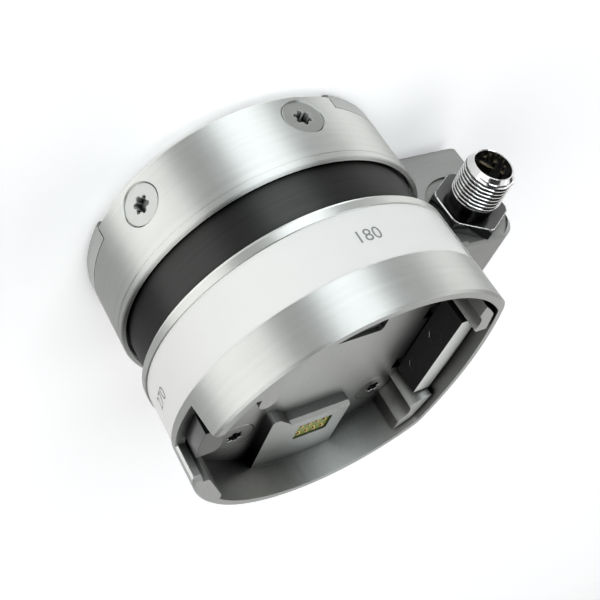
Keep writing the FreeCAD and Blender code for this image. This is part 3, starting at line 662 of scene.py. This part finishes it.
@dataclass
class SensingCore:
    """Flexure, boards and the screws inside."""

    def build(self) -> None:
        """Dresses the nodes inside."""
        dress(FLEXURE_ALUMINIUM, "flexure")
        dress(SMALL_SCREW_STEEL, "flexure_screws", "hub_screws", "board_screws")
        dress(BOARD_LACQUER, "sensor_board", "contact_board")
        dress(CHIP_PLASTIC, "optical_sensors")


@dataclass
class ArmAndBody:
    """The sensor's body with its arm."""

    turned_r: float = 34.0 * MM
    arm_y: float = 30.0 * MM

    def build(self) -> None:
        """Dresses the body, turned round the middle and milled elsewhere, the milled faces painted
        darker as shade.
        """
        dress(BODY_ALUMINIUM, "sensor_body")
        dress_faces(ARM_ALUMINIUM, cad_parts["sensor_body"],
                    lambda middle, _: middle.y > self.arm_y or middle.xy.length < self.turned_r)


@dataclass
class LabelPrint:
    """The label band and the plain numbers on it, turned by lead degrees past their places."""

    azimuths: Tuple[float, ...] = (0.0, 180.0, 270.0)
    text_size: float = 3.78 * MM
    lead: float = 2.5
    proud: float = 0.02 * MM
    radius: float = 0.0
    middle: float = 0.0

    def build(self) -> None:
        """Dresses the band and prints its numbers."""
        dress(LABEL_FILM, "label_band")
        low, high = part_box("label_band")
        self.radius = -low.x + self.proud
        self.middle = (low.z + high.z) / 2
        for azimuth in self.azimuths:
            self.number(azimuth)

    def number(self, azimuth: float) -> None:
        """Prints one number round the band, its top towards the robot.

        Args:
            azimuth: the place round the Z axis, in degrees, which is also the number.
        """
        text = bpy.data.curves.new("text", "FONT")
        text.body = "%d" % azimuth
        text.size = self.text_size
        text.align_x = "CENTER"
        text.align_y = "CENTER"
        holder = bpy.data.objects.new("text", text)
        flat = bpy.data.meshes.new_from_object(holder)
        points = []
        for vertex in flat.vertices:
            turn = math.radians(azimuth + self.lead) - vertex.co.x / self.radius
            points.append(Vector((self.radius * math.cos(turn), self.radius * math.sin(turn),
                                  self.middle - vertex.co.y)))
        faces = [tuple(polygon.vertices) for polygon in flat.polygons]
        mesh_piece("number_%d" % azimuth, points, faces, NUMBER_INK, Body.SENSOR)
        bpy.data.objects.remove(holder)


@dataclass
class Plug:
    """The threaded connector: its shell, hexagon, insert and pins.

    Names that end in _r are radii and in _l lengths along the axis. The lip is the bevel at the
    mouth. Flank and runout are in pitches, and flat is the share of a sharp crest that is left.
    """

    steps: int = 120
    rings_per_pitch: int = 12
    smooth_thread: float = 35.0
    pitch: float = 1.0 * MM
    thread_depth: float = 0.55 * MM
    flank: float = 0.46
    flat: float = 0.8
    runout: float = 0.6
    crest_band: float = 0.17 * MM
    thread_r: float = 5.85 * MM
    neck_r: float = 5.3 * MM
    neck_l: float = 2.0 * MM
    barrel_r: float = 7.4 * MM
    socket_r: float = 4.4 * MM
    socket_l: float = 8.0 * MM
    mouth_bevel: float = 0.15 * MM
    lip_r: float = 4.72 * MM
    lip_l: float = 1.8 * MM
    hex_steps: int = 180
    hex_levels: int = 5
    smooth_hex: float = 25.0
    hex_l: float = 3.1 * MM
    hex_flats: float = 16.0 * MM
    hex_corner: float = 0.8 * MM
    hex_cone: float = 0.55 * MM
    rim_l: float = 0.22 * MM
    rim_in: float = 0.18 * MM
    overlap: float = 0.1 * MM
    seat_x: float = -9.4 * MM
    mouth_x: float = 0.0
    axis: Vector = field(default_factory=Vector)

    def build(self) -> None:
        """Builds the threaded shell and dresses what is in it."""
        low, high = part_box("connector_shell")
        self.axis = Vector((0, (low.y + high.y) / 2, (low.z + high.z) / 2))
        self.mouth_x = low.x
        self.shell(high.x)
        self.nut()
        dress(INSERT_PLASTIC, "connector_insert")
        # The pins' gold is painted dark as shade, with painted glints round their tips.
        dress(PIN_GOLD_PAINTED_SHADE, "connector_pins")

    def ring(self, x: float, radius: Callable[[float], float], steps: int) -> List[Vector]:
        """One ring of points round the connector's axis.

        Args:
            x: the ring's place along the axis.
            radius: the radius at a share of a turn.
            steps: how many points it has.

        Returns:
            The points.
        """
        points = []
        for share in (step / steps for step in range(steps)):
            turn, r = math.tau * share, radius(share)
            points.append(self.axis + Vector((x, r * math.cos(turn), r * math.sin(turn))))
        return points

    def skin(self, name: str, rings: List[List[Vector]], finish: Finish) -> bpy.types.Object:
        """Makes a piece of the connector from rings that follow each other.

        Args:
            name: the piece's name.
            rings: the rings, all with as many points.
            finish: its finish.

        Returns:
            The new object.
        """
        n = len(rings[0])
        faces = [(i * n + j, i * n + n + j, i * n + n + (j + 1) % n, i * n + (j + 1) % n)
                 for i in range(len(rings) - 1) for j in range(n)]
        points = [point for ring in rings for point in ring]
        return mesh_piece(name, points, faces, finish, Body.SENSOR)

    def thread_radius(self, x: float, share: float, end: float) -> float:
        """Radius of the thread, running out at the neck and cut by the bevel of the mouth.

        Args:
            x: the place along the axis.
            share: the share of a turn.
            end: where the thread runs out at the neck.

        Returns:
            The radius there.
        """
        phase = (x / self.pitch + share) % 1.0
        rise = min(1.0, max(0.0, 1.0 - abs(phase - 0.5) / self.flank) / self.flat)
        fade = max(0.0, min(1.0, (end - x) / (self.runout * self.pitch)))
        root = self.thread_r - self.thread_depth
        lip = self.lip_r + (self.thread_r - self.lip_r) * (x - self.mouth_x) / self.lip_l
        return min(root + self.thread_depth * rise * fade, lip)

    def shell(self, inner_x: float) -> None:
        """Builds the shell: barrel, neck, thread, mouth and socket.

        Args:
            inner_x: the end of the barrel inside the arm.
        """
        neck_end = self.seat_x - self.hex_l - self.neck_l
        threaded = neck_end - self.mouth_x

        def plain(*sizes: Span) -> List[List[Vector]]:
            """Round rings, from the place and radius of each."""
            return [self.ring(x, lambda _, radius=radius: radius, self.steps)
                    for x, radius in sizes]

        rings = plain((inner_x, self.socket_r), (inner_x, self.barrel_r),
                      (self.seat_x, self.barrel_r), (self.seat_x, self.neck_r),
                      (neck_end, self.neck_r))
        count = int(round(threaded / self.pitch * self.rings_per_pitch))
        for i in range(count + 1):
            x = neck_end - threaded * i / count
            rings.append(self.ring(x, lambda share, x=x: self.thread_radius(x, share, neck_end),
                                   self.steps))
        rings += plain((self.mouth_x, self.socket_r + self.mouth_bevel),
                       (self.mouth_x + self.mouth_bevel, self.socket_r),
                       (self.mouth_x + self.socket_l, self.socket_r), (inner_x, self.socket_r))
        made = self.skin("threaded_shell", rings, NICKEL)
        smooth_by_angle(made, self.smooth_thread)
        # Painted shade: the grooves and the neck take the nickel painted dark, and only the crests
        # keep plain nickel.
        dress_faces(NICKEL_PAINTED_DARK, made, lambda middle, _: self.in_groove(middle))
        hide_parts("connector_shell")

    def in_groove(self, middle: Vector) -> bool:
        """Whether a place lies in the thread's grooves or on the neck, beyond the lip; these faces
        are painted dark as shade.

        Args:
            middle: the place.

        Returns:
            Whether it does.
        """
        x, y, z = middle - self.axis
        crest = self.thread_r - self.crest_band
        return self.socket_r < math.hypot(y, z) < crest and x > self.mouth_x + self.lip_l

    def nut(self) -> None:
        """Builds the hexagon, its corners turned to a cone, with a painted dark reflection on all
        but its rim.
        """
        front = self.seat_x - self.hex_l
        cone = front + self.rim_l

        def hexagon(x: float, grow: float = 0.0) -> List[Vector]:
            """The hexagon's outline at a place along the axis, grown by a length."""
            limit = self.hex_flats / 2 + self.hex_corner + max(0.0, x - cone)
            return self.ring(x, lambda share: min(self.hex_radius(share), limit) + grow,
                             self.hex_steps)

        inner = self.neck_r - self.overlap
        rings = [self.ring(self.seat_x, lambda _: inner, self.hex_steps), hexagon(self.seat_x)]
        rings += [hexagon(cone + self.hex_cone * (1 - i / self.hex_levels))
                  for i in range(self.hex_levels + 1)]
        rings.append(hexagon(front, -self.rim_in))
        rings.append(self.ring(front, lambda _: inner, self.hex_steps))
        made = self.skin("shell_hexagon", rings, NICKEL_PAINTED_DARK)
        smooth_by_angle(made, self.smooth_hex)
        # Only the rim keeps plain nickel; the rest of the hexagon has the painted dark reflection.
        made.data.materials.append(NICKEL.material())
        rim = (len(rings) - 3) * self.hex_steps
        for polygon in made.data.polygons[rim:rim + self.hex_steps]:
            polygon.material_index = 1

    def hex_radius(self, share: float) -> float:
        """Distance from the axis to the hexagon's side.

        Args:
            share: the share of a turn.

        Returns:
            The distance.
        """
        side = math.tau / 6
        offset = (math.tau * share + side / 2) % side - side / 2
        return self.hex_flats / 2 / math.cos(offset)


@dataclass
class ToolSocket:
    """The milled cup, its contacts and the steel that the tool hooks under."""

    turned_r: float = 34.6 * MM
    level_z: float = 0.8

    def build(self) -> None:
        """Dresses the cup, turned outside and milled inside with painted shade, and what is fixed
        in it.
        """
        dress(SOCKET_ALUMINIUM, "socket_housing")
        # The milled faces take the cup's finish with its painted shade.
        dress_faces(CUP_ALUMINIUM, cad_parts["socket_housing"], self.is_milled)
        dress(SOCKET_SCREW_STEEL, "socket_screws")
        dress(CARRIER_PLASTIC, "contact_carrier")
        dress(GOLD, "contact_pins")
        dress(HARD_STEEL, "hook_block", "guide_pins", "latch_springs")

    def is_milled(self, middle: Vector, normal: Vector) -> bool:
        """Whether a face lies level or inside the turned wall."""
        return abs(normal.z) > self.level_z or middle.xy.length < self.turned_r


@dataclass
class Latch:
    """The sliding bar and its button."""

    top_z: float = 0.5

    def build(self) -> None:
        """Dresses the moving pieces, the bar painted dark as shade except on top, the link screws
        too.
        """
        dress(LATCH_ALUMINIUM, "latch_bar", "release_button")
        # Painted shade on every face of the bar but its top.
        dress_faces(LATCH_PAINTED_SHADE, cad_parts["latch_bar"],
                    lambda _, normal: normal.z < self.top_z)
        dress(LATCH_PAINTED_SHADE, "link_screws")


def lamp(name: str, data: bpy.types.Light, towards: Vector, place: Vector) -> bpy.types.Object:
    """Adds a lamp that shines against the direction that it stands in.

    Args:
        name: its name.
        data: its light.
        towards: the direction from the object to it.
        place: where it stands.

    Returns:
        The lamp.
    """
    made = add(name, data)
    made.location = place
    made.rotation_euler = (-towards).to_track_quat("-Z", "Y").to_euler()
    return made


@dataclass(frozen=True)
class Panel:
    """A tall soft light that stands on the floor round the object, seen from the origin.

    Azimuth, half_width, bottom and top are in degrees.
    """

    name: str
    azimuth: float
    half_width: float
    top: float
    radiance: float
    bottom: float = 0.0
    distance: float = 8.0
    colour: Colour = (1.0, 1.0, 1.0)

    def build(self) -> None:
        """Stands the panel upright, facing the object."""
        width = 2 * self.distance * math.tan(math.radians(self.half_width))
        foot = self.distance * math.tan(math.radians(self.bottom))
        height = self.distance * math.tan(math.radians(self.top)) - foot
        data = bpy.data.lights.new(self.name, "AREA")
        data.shape = "RECTANGLE"
        data.size = width
        data.size_y = height
        data.energy = math.pi * width * height * self.radiance
        data.color = self.colour
        turn = math.radians(self.azimuth)
        out = Vector((math.cos(turn), math.sin(turn), 0.0))
        middle = out * self.distance + Vector((0.0, 0.0, foot + height / 2))
        lamp(self.name, data, out, middle).visible_camera = False
        log.info("%s lights from %d degrees with %.1f W", self.name, self.azimuth, data.energy)


@dataclass
class Studio:
    """Pale floor, soft lights and the camera.

    The sweep is the part of the surround that looks white, in degrees above the horizon. The
    camera's heading, elevation and roll are in degrees too, and lens and film in millimetres.
    """

    floor_size: float = 40.0
    floor_level: float = 0.95
    floor_roughness: float = 0.9
    floor_lift: float = 0.27
    world_level: float = 0.05
    sweep_low: float = 1.0
    sweep_high: float = 12.0
    overhead_strength: float = 0.65
    overhead_angle: float = 50.0
    overhead_tilt: float = 25.0
    overhead_azimuth: float = 70.0
    overhead_distance: float = 2.0
    panels: Tuple[Panel, ...] = (
        Panel("key", 180.0, 19.0, 50.0, 3.8, colour=(0.94, 1.0, 1.04)),
        Panel("fill", 261.5, 28.0, 50.0, 2.6),
        Panel("side", 104.0, 17.0, 50.0, 1.3),
        Panel("back", 33.0, 25.0, 45.0, 0.95, bottom=14.0),
    )
    lens: float = 56.07
    film: float = 36.0
    near: float = 0.005
    place: Tuple[float, float, float] = (-0.14942, -0.09543, 0.11027)
    heading: float = 33.1
    elevation: float = -25.37
    roll: float = -148.13

    def build(self) -> None:
        """Sets floor, world, lights and camera."""
        self.floor()
        self.world()
        self.overhead()
        for panel in self.panels:
            panel.build()
        self.camera()
        bpy.context.scene.view_settings.view_transform = "Standard"

    def floor(self) -> None:
        """Lays the floor that the robot's face stands on, lifted to white over its shadow."""
        half = self.floor_size / 2
        data = bpy.data.meshes.new("floor")
        corners = [(-half, -half, 0), (half, -half, 0), (half, half, 0), (-half, half, 0)]
        data.from_pydata(corners, [], [(0, 1, 2, 3)])
        material = bpy.data.materials.new("floor_pale")
        material.use_nodes = True
        desk = NodeDesk(material.node_tree)
        shader = material.node_tree.nodes["Principled BSDF"].inputs
        for name, value in (("Base Color", (self.floor_level,) * 3 + (1,)),
                            ("Roughness", self.floor_roughness),
                            ("Emission Color", (1, 1, 1, 1)),
                            ("Emission Strength",
                             desk.math("MULTIPLY", desk.seen(), self.floor_lift))):
            desk.join(value, shader[name])
        data.materials.append(material)
        made = add("floor", data)

    def world(self) -> None:
        """Sets a dim surround that looks white down at the horizon, like a studio's sweep."""
        world = bpy.data.worlds.new("surround")
        world.use_nodes = True
        desk = NodeDesk(world.node_tree)
        split = desk.node("ShaderNodeSeparateXYZ")
        desk.join(desk.node("ShaderNodeTexCoord").outputs["Generated"], split.inputs[0])
        heights = tuple(math.sin(math.radians(v)) for v in (self.sweep_low, self.sweep_high))
        sweep = desk.mapped(split.outputs["Z"], heights, (1 - self.world_level, 0.0), ease=True)
        back = world.node_tree.nodes["Background"].inputs
        desk.join((1, 1, 1, 1), back["Color"])
        desk.join(desk.math("MULTIPLY_ADD", desk.seen(), sweep, self.world_level),
                  back["Strength"])
        bpy.context.scene.world = world

    def overhead(self) -> None:
        """Hangs the wide light overhead, which keeps the floor evenly pale."""
        data = bpy.data.lights.new("overhead", "SUN")
        data.energy = self.overhead_strength
        data.angle = math.radians(self.overhead_angle)
        turn, tilt = math.radians(self.overhead_azimuth), math.radians(self.overhead_tilt)
        out = Vector((math.sin(tilt) * math.cos(turn), math.sin(tilt) * math.sin(turn),
                      math.cos(tilt)))
        lamp("overhead", data, out, out * self.overhead_distance)

    def camera(self) -> None:
        """Sets the camera at the photograph's place and roll."""
        heading, elevation, roll = (math.radians(v)
                                    for v in (self.heading, self.elevation, self.roll))
        forward = Vector((math.cos(elevation) * math.cos(heading),
                          math.cos(elevation) * math.sin(heading), math.sin(elevation)))
        level = forward.cross(Vector((0, 0, 1))).normalized()
        upright = level.cross(forward)
        right = level * math.cos(roll) - upright * math.sin(roll)
        up = upright * math.cos(roll) + level * math.sin(roll)
        data = bpy.data.cameras.new("camera")
        data.sensor_width = self.film
        data.lens = self.lens
        data.clip_start = self.near
        made = add("camera", data)
        turn = Matrix((right, up, -forward)).transposed().to_4x4()
        made.matrix_world = Matrix.Translation(self.place) @ turn
        bpy.context.scene.camera = made


def main() -> None:
    """Builds the sensor's looks piece by piece, then the studio."""
    for part in (RobotSide(), SensingCore(), ArmAndBody(), LabelPrint(), Plug(), ToolSocket(),
                 Latch()):
        log.info("building %s", type(part).__name__)
        part.build()
    Studio().build()


if __name__ == "__main__":
    main()
